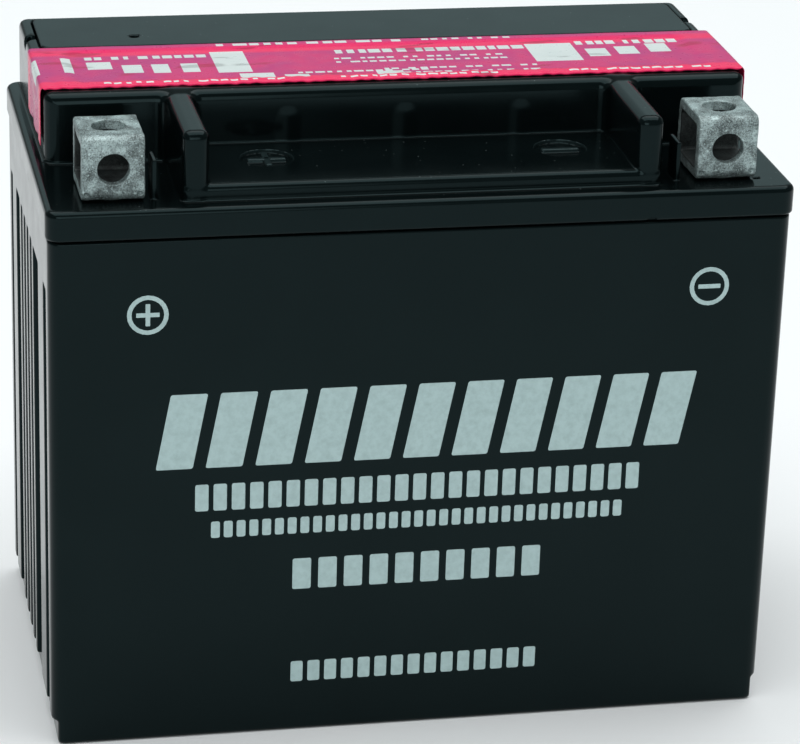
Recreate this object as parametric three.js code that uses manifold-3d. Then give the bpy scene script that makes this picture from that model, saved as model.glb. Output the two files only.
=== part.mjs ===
// A six-cell, 12 V absorbed-glass-mat motorcycle battery, 150 x 87 x 130 mm.
// Millimetres, +Z up. X runs along the length with the positive terminal at -X,
// the front, where the terminals are, is at -Y, and the origin is the middle of the base.

import * as THREE from 'three';
import { mergeVertices } from 'three/addons/utils/BufferGeometryUtils.js';
import Module from 'manifold-3d';

const wasm = await Module();
wasm.setup();

// Driving dimensions -------------------------------------------------------------------

const LENGTH = 150;             // over the lid's skirt, along X
const WIDTH = 87;               // over the lid's skirt, along Y
const HEIGHT = 130;             // from the base to the top of the foil seal
const CORNER_RADIUS = 3;        // upright corners of the skirt and the case
const GAP = 0.3;                // clearance left between pieces that touch

const CELLS = 6;
const CELL_PITCH = 24;
const PARTITION = 1.6;          // thickness of the walls between the cells

const SEAM_Z = 108.8;           // lower edge of the lid's skirt
const SHOULDER_Z = 114.8;       // floor that the terminals stand on
const DECK_Z = 129.4;           // top of the raised deck

const SKIRT_OVERHANG = 0.4;     // how far the skirt stands proud of the case
const CASE_HALF_X = LENGTH / 2 - SKIRT_OVERHANG;
const CASE_HALF_Y = WIDTH / 2 - SKIRT_OVERHANG;
const CASE_TOP = SEAM_Z - GAP;
const INNER_HALF_X = (CELLS * CELL_PITCH - PARTITION) / 2;
const INNER_HALF_Y = 40.5;
const FLOOR = 2.5;              // thickness of the case's floor

const GROOVE_DEPTH = 1.2;       // of the grooves between the ribs of the end walls
const COLLAR_BOTTOM = 96.5;     // the end wall is smooth above this height
const BASE_STEP = 5;            // the end wall is set back below this height
const NARROW_RIBS = 5;
const NARROW_RIB_PITCH = 6.5;
const NARROW_RIB_WIDTH = 3.3;
const NARROW_RIB_FIRST_Y = -9.5;
const BROAD_RIBS = [[-26.5, 10.5], [29.5, 8.5]];   // centre Y and width
const CORNER_COLUMN = 6;        // width of the smooth strip beside each corner

const DECK_HALF_X = 72.2;
const DECK_FRONT = -13.8;
const DECK_REAR = 42;
const DECK_CORNER = 2.5;
const DECK_WALL = 2.6;
const SHOULDER_PLATE = 2.5;     // thickness of the floor under the terminals

const RIB_X = 45.4;             // centre of each standing rib
const RIB_WIDTH = 5.4;
const RIB_FRONT = -39.4;
const RIB_Z = 129;
const TRAY_Z = 118;             // floor between the standing ribs
const TRAY_PLATE = 2.5;         // thickness of the tray's front wall

const MARK_XS = [-29.2, 30.8];  // sunk polarity discs in the tray floor, plus and minus
const MARK_Y = -23.6;
const MARK_DIAMETER = 10.6;
const MARK_DEPTH = 0.8;
const MARK_BAR = [7.4, 1.3];    // length and width of the raised bars in a disc

const TROUGH = { halfX: 66.5, front: -8.5, rear: 15, depth: 5 };   // holds the filler openings
const FILLER_Y = 3.2;
const FILLER_WELL = 13;         // width of each rounded-square filler opening
const FILLER_CORNER = 2;
const TROUGH_PLATE = 2.4;
const DECK_SPLIT = 17.35;       // where the filler deck meets the vent deck

const COVER = { halfX: 69.6, front: 17.8, rear: 40.2, thickness: 2, corner: 2.5 };
const CHAMBER = { halfX: 65.6, front: 19.6, rear: 38.4, floor: 120 };
const CHAMBER_PLATE = 2;
const COVER_STUB = 6;           // diameter of the pegs that hold the valve caps down
const VENT_Y = 27.5;            // both gas outlets lie on this line
const VENT_SLOT = { width: 3, bottom: 126.4 };   // open at the top of the deck's end wall
const ARRESTOR = { diameter: 4.4, length: 2.6, z: 124.9 };
const VALVE_Y = 31;
const SPIGOT = { outer: 8, bore: 4, height: 4 };
const CAP = { outer: 11, inner: 8.6, height: 5 };

const TERMINAL = { x: 61.45, front: -38.7, rear: -23.4, width: 12.3, top: 128.2, wall: 2.3 };
const TERMINAL_HOLE = 6.3;      // for an M6 bolt from the front
const TERMINAL_TOP_HOLE = 6.8;  // for an M6 bolt from above
const SPIGOT_DIAMETER = 10;     // lead neck through the lid
const SPIGOT_BOTTOM = 109.8;
const POST_DIAMETER = 7;
const RETAINER = { xs: [-53.4, 51.7], thickness: 1, front: -38.4, rear: -31.2, top: 122.9 };

const PLATE_BOTTOM = 6.8;
const PLATE_TOP = 88;
const PLATE_HALF_Y = 36.5;
const PLATE_PITCH = 2.4;        // from a positive plate to the next negative plate
const NEGATIVE = { plates: 5, thickness: 1.1 };
const POSITIVE = { plates: 4, thickness: 1.5 };
const LUG_WIDTH = 10;
const STRAP = { y: 27, width: 18, bottom: 94, top: 98, halfX: 10.2 };
const UPRIGHT = { thickness: 2.2, width: 12, top: 107 };
const WELD_DIAMETER = 8.4;
const WELD_Z = 102.2;
const MAT_THICKNESS = 0.5;
const MAT_BOTTOM = 5.8;
const MAT_TOP = 91;
const FLOOR_RAIL = { y: 20, width: 2, top: 5.5 };

const SEAL = { halfX: 72.85, front: -11.2, rear: 16.5, thickness: 0.35, flapBottom: 118 };

// Geometry helpers ---------------------------------------------------------------------

function solid(geometry) {
  const bare = geometry.clone();
  bare.deleteAttribute('normal');
  bare.deleteAttribute('uv');
  const welded = mergeVertices(bare, 1e-4);
  return new wasm.Manifold(new wasm.Mesh({
    numProp: 3,
    vertProperties: new Float32Array(welded.attributes.position.array),
    triVerts: new Uint32Array(welded.index.array),
  }));
}

function toGeometry(manifold) {
  const mesh = manifold.getMesh();
  const geometry = new THREE.BufferGeometry();
  geometry.setAttribute('position', new THREE.BufferAttribute(new Float32Array(mesh.vertProperties), 3));
  geometry.setIndex(new THREE.BufferAttribute(new Uint32Array(mesh.triVerts), 1));
  geometry.computeVertexNormals();
  return geometry;
}

// A block between two corners.
function block([x0, x1], [y0, y1], [z0, z1]) {
  const geometry = new THREE.BoxGeometry(x1 - x0, y1 - y0, z1 - z0);
  geometry.translate((x0 + x1) / 2, (y0 + y1) / 2, (z0 + z1) / 2);
  return solid(geometry);
}

// An upright block with rounded corners.
function roundedBlock([x0, x1], [y0, y1], [z0, z1], radius) {
  const outline = new THREE.Shape();
  outline.moveTo(x0 + radius, y0);
  outline.lineTo(x1 - radius, y0);
  outline.absarc(x1 - radius, y0 + radius, radius, -Math.PI / 2, 0);
  outline.lineTo(x1, y1 - radius);
  outline.absarc(x1 - radius, y1 - radius, radius, 0, Math.PI / 2);
  outline.lineTo(x0 + radius, y1);
  outline.absarc(x0 + radius, y1 - radius, radius, Math.PI / 2, Math.PI);
  outline.lineTo(x0, y0 + radius);
  outline.absarc(x0 + radius, y0 + radius, radius, Math.PI, Math.PI * 1.5);
  const settings = { depth: z1 - z0, bevelEnabled: false, curveSegments: 4 };
  const geometry = new THREE.ExtrudeGeometry(outline, settings);
  geometry.translate(0, 0, z0);
  return solid(geometry);
}

// A cylinder along X, Y or Z, from one end's coordinate to the other's.
function rod(axis, diameter, centre, from, to, sides = 24) {
  const geometry = new THREE.CylinderGeometry(diameter / 2, diameter / 2, to - from, sides);
  const middle = (from + to) / 2;
  if (axis === 'x') geometry.rotateZ(Math.PI / 2).translate(middle, centre[0], centre[1]);
  if (axis === 'y') geometry.translate(centre[0], middle, centre[1]);
  if (axis === 'z') geometry.rotateX(Math.PI / 2).translate(centre[0], centre[1], middle);
  return solid(geometry);
}

function join(first, ...others) {
  return others.reduce((sum, other) => sum.add(other), first);
}

function cut(body, ...tools) {
  return tools.reduce((rest, tool) => rest.subtract(tool), body);
}

const centred = (half) => [-half, half];
const around = (middle, width) => [middle - width / 2, middle + width / 2];
const cellX = (index) => (index - (CELLS - 1) / 2) * CELL_PITCH;
const partitionX = (index) => (index - (CELLS - 2) / 2) * CELL_PITCH;
const cellIndexes = [...Array(CELLS).keys()];
const partitionIndexes = [...Array(CELLS - 1).keys()];

// The weld through a partition is at the rear after an odd cell and at the front after an even one.
const weldY = (index) => (index % 2 === 0 ? STRAP.y : -STRAP.y);

// Materials ----------------------------------------------------------------------------

const finish = (color, roughness, metalness = 0) => ({ color, roughness, metalness });
const FINISH = {
  blackPlastic: finish(0x14191a, 0.35),
  foil: finish(0xd8347f, 0.4),
  terminalLead: finish(0x9aa8a8, 0.55, 0.6),
  castLead: finish(0x6b7073, 0.6, 0.7),
  positivePaste: finish(0x4a2f22, 0.9),
  negativePaste: finish(0x6d7375, 0.85),
  glassMat: finish(0xe9e9e4, 1),
  rubber: finish(0x1b1b1b, 0.8),
  porousPlug: finish(0xd9d6cc, 0.95),
};

const battery = new THREE.Group();

function addPiece(name, manifold, look, position = [0, 0, 0]) {
  const mesh = new THREE.Mesh(toGeometry(manifold), new THREE.MeshStandardMaterial(look));
  mesh.name = name;
  mesh.position.set(...position);
  battery.add(mesh);
}

// Case ---------------------------------------------------------------------------------

// The stretches of an end wall, along Y, that are sunk between its ribs.
function grooveSpans() {
  const ribs = BROAD_RIBS.map(([y, width]) => around(y, width));
  for (let i = 0; i < NARROW_RIBS; i += 1) {
    ribs.push(around(NARROW_RIB_FIRST_Y + i * NARROW_RIB_PITCH, NARROW_RIB_WIDTH));
  }
  ribs.sort((a, b) => a[0] - b[0]);
  const spans = [];
  let start = -CASE_HALF_Y + CORNER_COLUMN;
  for (const [front, rear] of ribs) {
    spans.push([start, front]);
    start = rear;
  }
  spans.push([start, CASE_HALF_Y - CORNER_COLUMN]);
  return spans;
}

function makeCase() {
  const walls = [CASE_HALF_X - GROOVE_DEPTH, CASE_HALF_X + 1];
  let body = roundedBlock(centred(CASE_HALF_X), centred(CASE_HALF_Y), [0, CASE_TOP], CORNER_RADIUS);
  for (const side of [-1, 1]) {
    const across = walls.map((x) => side * x).sort((a, b) => a - b);
    body = cut(body, block(across, centred(CASE_HALF_Y + 1), [-1, BASE_STEP]));
    for (const span of grooveSpans()) {
      body = cut(body, block(across, span, [BASE_STEP - 1, COLLAR_BOTTOM]));
    }
  }
  for (const index of cellIndexes) {
    const cell = around(cellX(index), CELL_PITCH - PARTITION);
    body = cut(body, block(cell, centred(INNER_HALF_Y), [FLOOR, CASE_TOP + 1]));
  }
  for (const y of [-FLOOR_RAIL.y, FLOOR_RAIL.y]) {
    const depth = around(y, FLOOR_RAIL.width);
    body = join(body, block(centred(INNER_HALF_X + 1), depth, [FLOOR - 1, FLOOR_RAIL.top]));
  }
  for (const index of partitionIndexes) {
    const x = partitionX(index);
    body = cut(body, rod('x', WELD_DIAMETER + 2 * GAP, [weldY(index), WELD_Z], x - 2, x + 2, 16));
  }
  addPiece('case', body, FINISH.blackPlastic);
}

// Lid ----------------------------------------------------------------------------------

// One moulding on a real battery. It is divided here where its walls meet, into a shoulder plate
// with the skirt, the tray and the two halves of the deck that stand on it, and the walls below.

const UPPER_Z = SHOULDER_Z + GAP;   // where the tray and the deck start

function makeLidShoulder() {
  const below = SEAM_Z - 1;
  const above = SHOULDER_Z + 1;
  const skirt = roundedBlock(
    centred(LENGTH / 2), centred(WIDTH / 2), [SEAM_Z, SHOULDER_Z], CORNER_RADIUS);
  let body = cut(
    skirt,
    block(centred(INNER_HALF_X), centred(INNER_HALF_Y), [below, SHOULDER_Z - SHOULDER_PLATE]),
    block(centred(RIB_X - RIB_WIDTH / 2), [RIB_FRONT + TRAY_PLATE, DECK_FRONT], [below, above]),
    block(centred(DECK_HALF_X - DECK_WALL), [DECK_FRONT + DECK_WALL, DECK_REAR - DECK_WALL], [below, above]));
  for (const x of RETAINER.xs) {
    const across = around(x, RETAINER.thickness);
    body = join(body, block(across, [RETAINER.front, RETAINER.rear], [SHOULDER_Z - 1, RETAINER.top]));
  }
  for (const side of [-1, 1]) {
    const at = [side * TERMINAL.x, (TERMINAL.front + TERMINAL.rear) / 2];
    body = cut(body, rod('z', SPIGOT_DIAMETER + 2 * GAP, at, SEAM_Z, above));
  }
  addPiece('lid_shoulder', body, FINISH.blackPlastic);
}

function polarityMarks(body) {
  let marked = body;
  for (const x of MARK_XS) {
    const floor = TRAY_Z - MARK_DEPTH;
    const [length, width] = MARK_BAR;
    marked = cut(marked, rod('z', MARK_DIAMETER, [x, MARK_Y], floor, TRAY_Z + 1, 28));
    marked = join(marked, block(around(x, length), around(MARK_Y, width), [floor - 0.5, TRAY_Z - GAP]));
    if (x < 0) {
      marked = join(marked, block(around(x, width), around(MARK_Y, length), [floor - 0.5, TRAY_Z - GAP]));
    }
  }
  return marked;
}

function makeLidTray() {
  const depth = [RIB_FRONT, DECK_FRONT - GAP];
  const floor = block(centred(RIB_X), depth, [UPPER_Z, TRAY_Z]);
  const ribs = [-RIB_X, RIB_X].map((x) => block(around(x, RIB_WIDTH), depth, [UPPER_Z, RIB_Z]));
  addPiece('lid_tray', polarityMarks(join(floor, ...ribs)), FINISH.blackPlastic);
}

function makeLidFillerDeck() {
  const rear = DECK_SPLIT - GAP / 2;
  const plateBottom = DECK_Z - TROUGH.depth - TROUGH_PLATE;
  let body = join(
    roundedBlock(centred(DECK_HALF_X), [DECK_FRONT, 0], [UPPER_Z, DECK_Z], DECK_CORNER),
    block(centred(DECK_HALF_X), [DECK_FRONT + DECK_CORNER, rear], [UPPER_Z, DECK_Z]));
  body = cut(
    body,
    block(centred(TROUGH.halfX), [TROUGH.front, TROUGH.rear], [DECK_Z - TROUGH.depth, DECK_Z + 1]),
    block(centred(DECK_HALF_X - DECK_WALL), [DECK_FRONT + DECK_WALL, TROUGH.rear],
      [UPPER_Z - 1, plateBottom]));
  for (const index of cellIndexes) {
    body = cut(body, roundedBlock(around(cellX(index), FILLER_WELL), around(FILLER_Y, FILLER_WELL),
      [plateBottom - 1, DECK_Z - TROUGH.depth + 1], FILLER_CORNER));
  }
  addPiece('lid_filler_deck', body, FINISH.blackPlastic);
}

function ventPassages() {
  const passages = [];
  for (const side of [-1, 1]) {
    const slot = [CHAMBER.halfX + ARRESTOR.length - 1, DECK_HALF_X + 1].map((x) => side * x);
    const bore = [CHAMBER.halfX - 1, CHAMBER.halfX + ARRESTOR.length + GAP].map((x) => side * x);
    slot.sort((a, b) => a - b);
    bore.sort((a, b) => a - b);
    passages.push(block(slot, around(VENT_Y, VENT_SLOT.width), [VENT_SLOT.bottom, DECK_Z + 1]));
    passages.push(rod('x', ARRESTOR.diameter + 2 * GAP, [VENT_Y, ARRESTOR.z], ...bore, 16));
  }
  return passages;
}

function makeLidVentDeck() {
  const front = DECK_SPLIT + GAP / 2;
  const inDeckX = centred(DECK_HALF_X - DECK_WALL);
  let body = join(
    roundedBlock(centred(DECK_HALF_X), [VENT_Y, DECK_REAR], [UPPER_Z, DECK_Z], DECK_CORNER),
    block(centred(DECK_HALF_X), [front, DECK_REAR - DECK_CORNER], [UPPER_Z, DECK_Z]));
  body = cut(
    body,
    roundedBlock(centred(COVER.halfX + GAP), [front - 5, COVER.rear + GAP],
      [DECK_Z - COVER.thickness - GAP, DECK_Z + 1], COVER.corner + GAP),
    block(centred(CHAMBER.halfX), [CHAMBER.front, CHAMBER.rear], [CHAMBER.floor, DECK_Z]),
    block(inDeckX, [CHAMBER.front, DECK_REAR - DECK_WALL], [UPPER_Z - 1, CHAMBER.floor - CHAMBER_PLATE]),
    ...ventPassages());
  for (const index of cellIndexes) {
    const at = [cellX(index), VALVE_Y];
    body = join(body, rod('z', SPIGOT.outer, at, CHAMBER.floor - 1, CHAMBER.floor + SPIGOT.height, 16));
    body = cut(body, rod('z', SPIGOT.bore, at, CHAMBER.floor - CHAMBER_PLATE - 1, DECK_Z, 12));
  }
  addPiece('lid_vent_deck', body, FINISH.blackPlastic);
}

// The wall that carries one of the case's partitions on up to the underside of the deck.
function makeLidPartition(index) {
  const across = around(0, PARTITION);
  const shoulderUnderside = SHOULDER_Z - SHOULDER_PLATE - GAP;
  const wells = [DECK_FRONT + DECK_WALL + GAP, TROUGH.rear - GAP];
  const chamber = [CHAMBER.front + GAP, DECK_REAR - DECK_WALL - GAP];
  const wall = join(
    block(across, centred(INNER_HALF_Y - GAP), [SEAM_Z, shoulderUnderside]),
    block(across, wells, [SEAM_Z + 1, DECK_Z - TROUGH.depth - TROUGH_PLATE - GAP]),
    block(across, chamber, [SEAM_Z + 1, CHAMBER.floor - CHAMBER_PLATE - GAP]));
  addPiece(`lid_partition_${index + 1}`, wall, FINISH.blackPlastic, [partitionX(index), 0, 0]);
}

// Vent system under the cover plate ------------------------------------------------------

function makeVentCover() {
  let body = roundedBlock(centred(COVER.halfX), [COVER.front, COVER.rear],
    [DECK_Z - COVER.thickness, DECK_Z], COVER.corner);
  const stubBottom = CHAMBER.floor + GAP + CAP.height + GAP;
  for (const index of cellIndexes) {
    body = join(body, rod('z', COVER_STUB, [cellX(index), VALVE_Y], stubBottom, DECK_Z - 1, 12));
  }
  addPiece('vent_cover', body, FINISH.blackPlastic);
}

function makeValveCap(index) {
  const outer = rod('z', CAP.outer, [0, 0], 0, CAP.height, 20);
  const inner = rod('z', CAP.inner, [0, 0], -1, SPIGOT.height, 16);
  const position = [cellX(index), VALVE_Y, CHAMBER.floor + GAP];
  addPiece(`valve_cap_${index + 1}`, cut(outer, inner), FINISH.rubber, position);
}

function makeFlameArrestor(name, side) {
  const middle = side * (CHAMBER.halfX + ARRESTOR.length / 2);
  const plug = rod('x', ARRESTOR.diameter, [0, 0], -ARRESTOR.length / 2, ARRESTOR.length / 2, 16);
  addPiece(name, plug, FINISH.porousPlug, [middle, VENT_Y, ARRESTOR.z]);
}

// Terminals ------------------------------------------------------------------------------

function makeTerminal(name, side) {
  const { front, rear, width, top, wall } = TERMINAL;
  const bottom = SHOULDER_Z + GAP;
  const x = side * TERMINAL.x;
  const y = (front + rear) / 2;
  const window = [[bottom + wall, top - wall], [front + wall, rear - wall]];
  let body = block(around(x, width), [front, rear], [bottom, top]);
  body = join(body, rod('z', SPIGOT_DIAMETER, [x, y], SPIGOT_BOTTOM, bottom + 1));
  body = cut(body, block(around(x, width + 2), window[1], window[0]));
  body = cut(body, rod('y', TERMINAL_HOLE, [x, (bottom + top) / 2], front - 1, front + wall + 1));
  body = cut(body, rod('z', TERMINAL_TOP_HOLE, [x, y], top - wall - 1, top + 1));
  body = cut(body, rod('z', POST_DIAMETER + 2 * GAP, [x, y], SPIGOT_BOTTOM - 1, SHOULDER_Z - 1));
  addPiece(name, body, FINISH.terminalLead);
}

function makePost(name, side) {
  const y = (TERMINAL.front + TERMINAL.rear) / 2;
  const post = rod('z', POST_DIAMETER, [0, 0], STRAP.top + GAP, SHOULDER_Z - 1 - GAP, 20);
  addPiece(name, post, FINISH.castLead, [side * TERMINAL.x, y, 0]);
}

// Cells ----------------------------------------------------------------------------------

// A comb of plates hanging from one strap. strapSide is the Y side that its lugs are on, and
// uprightSide the X side of its upright for the weld to the next cell, or 0 for none.
function plateGroup({ plates, thickness }, strapSide, uprightSide) {
  const strapY = strapSide * STRAP.y;
  let body = block(centred(STRAP.halfX), around(strapY, STRAP.width), [STRAP.bottom, STRAP.top]);
  for (let i = 0; i < plates; i += 1) {
    const across = around((i - (plates - 1) / 2) * 2 * PLATE_PITCH, thickness);
    body = join(body,
      block(across, centred(PLATE_HALF_Y), [PLATE_BOTTOM, PLATE_TOP]),
      block(across, around(strapY, LUG_WIDTH), [PLATE_TOP - 1, STRAP.bottom + 1]));
  }
  if (uprightSide !== 0) {
    const outerFace = (CELL_PITCH - PARTITION) / 2 - GAP;
    const across = [outerFace - UPRIGHT.thickness, outerFace].map((x) => uprightSide * x);
    across.sort((a, b) => a - b);
    body = join(body, block(across, around(strapY, UPRIGHT.width), [STRAP.bottom, UPRIGHT.top]));
  }
  return body;
}

// The glass mat: one sheet folded back and forth so that a leaf lies between every two plates.
function separatorPack() {
  const leaves = POSITIVE.plates + NEGATIVE.plates - 1;
  const end = PLATE_HALF_Y + GAP;
  const leafX = (i) => (i - (leaves - 1) / 2) * PLATE_PITCH;
  let pack = null;
  for (let i = 0; i < leaves; i += 1) {
    const leaf = block(around(leafX(i), MAT_THICKNESS), centred(end + MAT_THICKNESS), [MAT_BOTTOM, MAT_TOP]);
    pack = pack === null ? leaf : join(pack, leaf);
    if (i > 0) {
      const foldEnd = i % 2 === 0 ? [end, end + MAT_THICKNESS] : [-end - MAT_THICKNESS, -end];
      pack = join(pack, block([leafX(i - 1), leafX(i)], foldEnd, [MAT_BOTTOM, MAT_TOP]));
    }
  }
  return pack;
}

function makeCell(index) {
  const number = index + 1;
  const position = [cellX(index), 0, 0];
  const positiveSide = index % 2 === 0 ? -1 : 1;
  const positive = plateGroup(POSITIVE, positiveSide, index === 0 ? 0 : -1);
  const negative = plateGroup(NEGATIVE, -positiveSide, index === CELLS - 1 ? 0 : 1);
  addPiece(`cell_${number}_positive_plates`, positive, FINISH.positivePaste, position);
  addPiece(`cell_${number}_negative_plates`, negative, FINISH.negativePaste, position);
  addPiece(`cell_${number}_separator_pack`, separatorPack(), FINISH.glassMat, position);
}

function makeIntercellConnector(index) {
  const weld = rod('x', WELD_DIAMETER, [0, 0], -PARTITION / 2, PARTITION / 2, 16);
  const position = [partitionX(index), weldY(index), WELD_Z];
  addPiece(`intercell_connector_${index + 1}`, weld, FINISH.castLead, position);
}

// Foil seal ------------------------------------------------------------------------------

function makeSeal() {
  const { halfX, front, rear, thickness, flapBottom } = SEAL;
  const whole = block(centred(halfX), [front, rear], [flapBottom, HEIGHT]);
  const inside = block(centred(halfX - thickness), [front - 1, rear + 1],
    [flapBottom - 1, HEIGHT - thickness]);
  addPiece('seal_strip', cut(whole, inside), FINISH.foil);
}

// Assembly -------------------------------------------------------------------------------

makeCase();
makeLidShoulder();
makeLidTray();
makeLidFillerDeck();
makeLidVentDeck();
partitionIndexes.forEach(makeLidPartition);
makeVentCover();
makeSeal();
makeTerminal('positive_terminal', -1);
makeTerminal('negative_terminal', 1);
makePost('positive_post', -1);
makePost('negative_post', 1);
cellIndexes.forEach(makeCell);
partitionIndexes.forEach(makeIntercellConnector);
cellIndexes.forEach(makeValveCap);
makeFlameArrestor('flame_arrestor_left', -1);
makeFlameArrestor('flame_arrestor_right', 1);

export default battery;
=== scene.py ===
"""A six-cell motorcycle battery with a foil seal over its filler openings.

The moulded shells, terminals and cover are surfaces of distance fields, so that every edge has its own
rounding and every inside corner its own fillet. Sizes are in millimetres until a mesh is made.
"""

import math
from dataclasses import dataclass
from typing import Callable

import bmesh
import bpy
import numpy as np
from mathutils import Matrix, Vector


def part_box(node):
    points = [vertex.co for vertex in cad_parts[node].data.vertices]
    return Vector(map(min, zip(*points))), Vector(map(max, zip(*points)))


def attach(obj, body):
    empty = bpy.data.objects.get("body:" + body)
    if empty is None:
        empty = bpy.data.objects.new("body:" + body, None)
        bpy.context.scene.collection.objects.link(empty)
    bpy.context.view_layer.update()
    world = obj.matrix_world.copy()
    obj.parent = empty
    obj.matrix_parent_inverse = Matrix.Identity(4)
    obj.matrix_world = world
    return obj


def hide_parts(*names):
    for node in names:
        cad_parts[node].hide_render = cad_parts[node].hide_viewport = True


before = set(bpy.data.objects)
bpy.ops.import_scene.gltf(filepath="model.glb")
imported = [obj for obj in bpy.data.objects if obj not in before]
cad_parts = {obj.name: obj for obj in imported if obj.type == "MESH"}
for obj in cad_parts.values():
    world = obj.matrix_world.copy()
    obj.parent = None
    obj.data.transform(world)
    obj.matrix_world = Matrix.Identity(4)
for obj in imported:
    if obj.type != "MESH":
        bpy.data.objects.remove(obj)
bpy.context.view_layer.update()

MM = 0.001


def box_mm(node):
    """Lowest and highest corner of a CAD node, in millimetres."""
    return tuple(np.array(corner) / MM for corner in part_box(node))


CASE_LOW, CASE_HIGH = box_mm("case")
LID_NODES = ["lid_shoulder", "lid_tray", "lid_filler_deck", "lid_vent_deck"]
LID_LOW = np.min([box_mm(node)[0] for node in LID_NODES], axis=0)
LID_HIGH = np.max([box_mm(node)[1] for node in LID_NODES], axis=0)
COVER_LOW, COVER_HIGH = box_mm("vent_cover")
SEAL_HIGH = box_mm("seal_strip")[1]

CELLS = 6
CELL_PITCH = 24.0
PARTITION = 1.6
INNER_HALF_X = (CELLS * CELL_PITCH - PARTITION) / 2
INNER_HALF_Y = 40.5
FLOOR_THICKNESS = 2.5
CELL_XS = [(i - (CELLS - 1) / 2) * CELL_PITCH for i in range(CELLS)]
PARTITION_XS = [(i - (CELLS - 2) / 2) * CELL_PITCH for i in range(CELLS - 1)]

SHOULDER_Z = 114.8
DECK_Z = LID_HIGH[2]
DECK_HALF_X = 72.2
DECK_FRONT = -13.8
DECK_REAR = 42.0
TRAY_Z = 118.0
MARK_XS = (-29.2, 30.8)     # the sunk plus and minus discs in the tray
MARK_Y = -23.6
MARK_RADIUS = 5.3
MARK_DEPTH = 0.8
MARK_BAR = (3.9, 0.7)       # half the length and half the width of their raised bars
RIB_X = 45.4
RIB_WIDTH = 5.4
RIB_FRONT = -39.4
RIB_Z = 129.0
RETAINER_XS = (-53.4, 51.7)     # thin tabs beside the terminals
RETAINER_YS = (-37.4, -31.3)
RETAINER_TOP = 122.9
SWELLING_XS = [x + 0.7 for x in (-CELL_PITCH, 0, CELL_PITCH)]
TROUGH_HALF_X = 66.5
TROUGH_YS = (-8.5, 15.0)
TROUGH_DEPTH = 5.0
CHAMBER_HALF_X = 65.6
CHAMBER_YS = (19.6, 38.4)
CHAMBER_FLOOR = 120.0
VALVE_Y = 31.0
FILLER_Y = 3.2
FILLER_WELL = 13.0
TERMINAL_X = 61.45
TERMINAL_Y = -31.05

# Distance fields ----------------------------------------------------------------------

FAR = 1e3         # the distance stored where no shape has been
MARGIN = 1.5      # how far round a shape its distances are worked out


def grid_lines(low, high, step, fine=()):
    """Positions from low to high, a step apart, or closer inside each (start, end, step) of fine."""
    lines = [low]
    while lines[-1] < high - 1e-6:
        here = lines[-1]
        size = min([step] + [s for start, end, s in fine if start - 1e-6 <= here < end - 1e-6])
        starts = [start for start, end, s in fine if here + 1e-6 < start < here + size and s < size]
        lines.append(min([here + size, high] + starts))
    return np.array(lines, np.float32)


def mirrored(zones):
    """Each (start, end, step) zone and the same zone on the other side of zero."""
    return list(zones) + [(-end, -start, step) for start, end, step in zones]


def union(a, b, blend=0.0):
    """Distance to either surface, with a fillet of that radius in the inside corner."""
    if blend == 0:
        return np.minimum(a, b)
    corner = np.hypot(np.maximum(blend - a, 0), np.maximum(blend - b, 0))
    return np.maximum(np.minimum(a, b), blend) - corner


def overlap(a, b, edge=0.0):
    """Distance to what both hold, with the outside corner rounded to that radius."""
    if edge == 0:
        return np.maximum(a, b)
    corner = np.hypot(np.maximum(a + edge, 0), np.maximum(b + edge, 0))
    return np.minimum(np.maximum(a, b), -edge) + corner


@dataclass
class Shape:
    """A distance function, and the box that holds its surface."""
    low: tuple
    high: tuple
    distance: Callable


def block(low, high, edge=0.0):
    """A box with all its edges rounded."""
    def distance(x, y, z):
        past = [np.abs(c - (a + b) / 2) - (b - a) / 2 + edge for c, a, b in zip((x, y, z), low, high)]
        outside = np.sqrt(sum(np.maximum(p, 0) ** 2 for p in past))
        inside = np.minimum(np.maximum(np.maximum(past[0], past[1]), past[2]), 0)
        return outside + inside - edge
    return Shape(low, high, distance)


def slab(low, high, corner, top=0.0, bottom=0.0):
    """An upright block with rounded upright corners, and its own rounding at the top and the bottom."""
    def distance(x, y, z):
        past_x = np.abs(x - (low[0] + high[0]) / 2) - (high[0] - low[0]) / 2 + corner
        past_y = np.abs(y - (low[1] + high[1]) / 2) - (high[1] - low[1]) / 2 + corner
        outside = np.hypot(np.maximum(past_x, 0), np.maximum(past_y, 0))
        plan = outside + np.minimum(np.maximum(past_x, past_y), 0) - corner
        return overlap(overlap(plan, z - high[2], top), low[2] - z, bottom)
    return Shape(low, high, distance)


def rod(axis, radius, centre, start, end, edge=0.0):
    """A cylinder along axis 0, 1 or 2, round a centre given on the other two axes."""
    across = [a for a in range(3) if a != axis]
    low, high = [0, 0, 0], [0, 0, 0]
    low[axis], high[axis] = start, end
    for a, middle in zip(across, centre):
        low[a], high[a] = middle - radius, middle + radius

    def distance(*point):
        out = np.hypot(point[across[0]] - centre[0], point[across[1]] - centre[1]) - radius
        along = np.abs(point[axis] - (start + end) / 2) - (end - start) / 2
        return overlap(out, along, edge)
    return Shape(tuple(low), tuple(high), distance)


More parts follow.
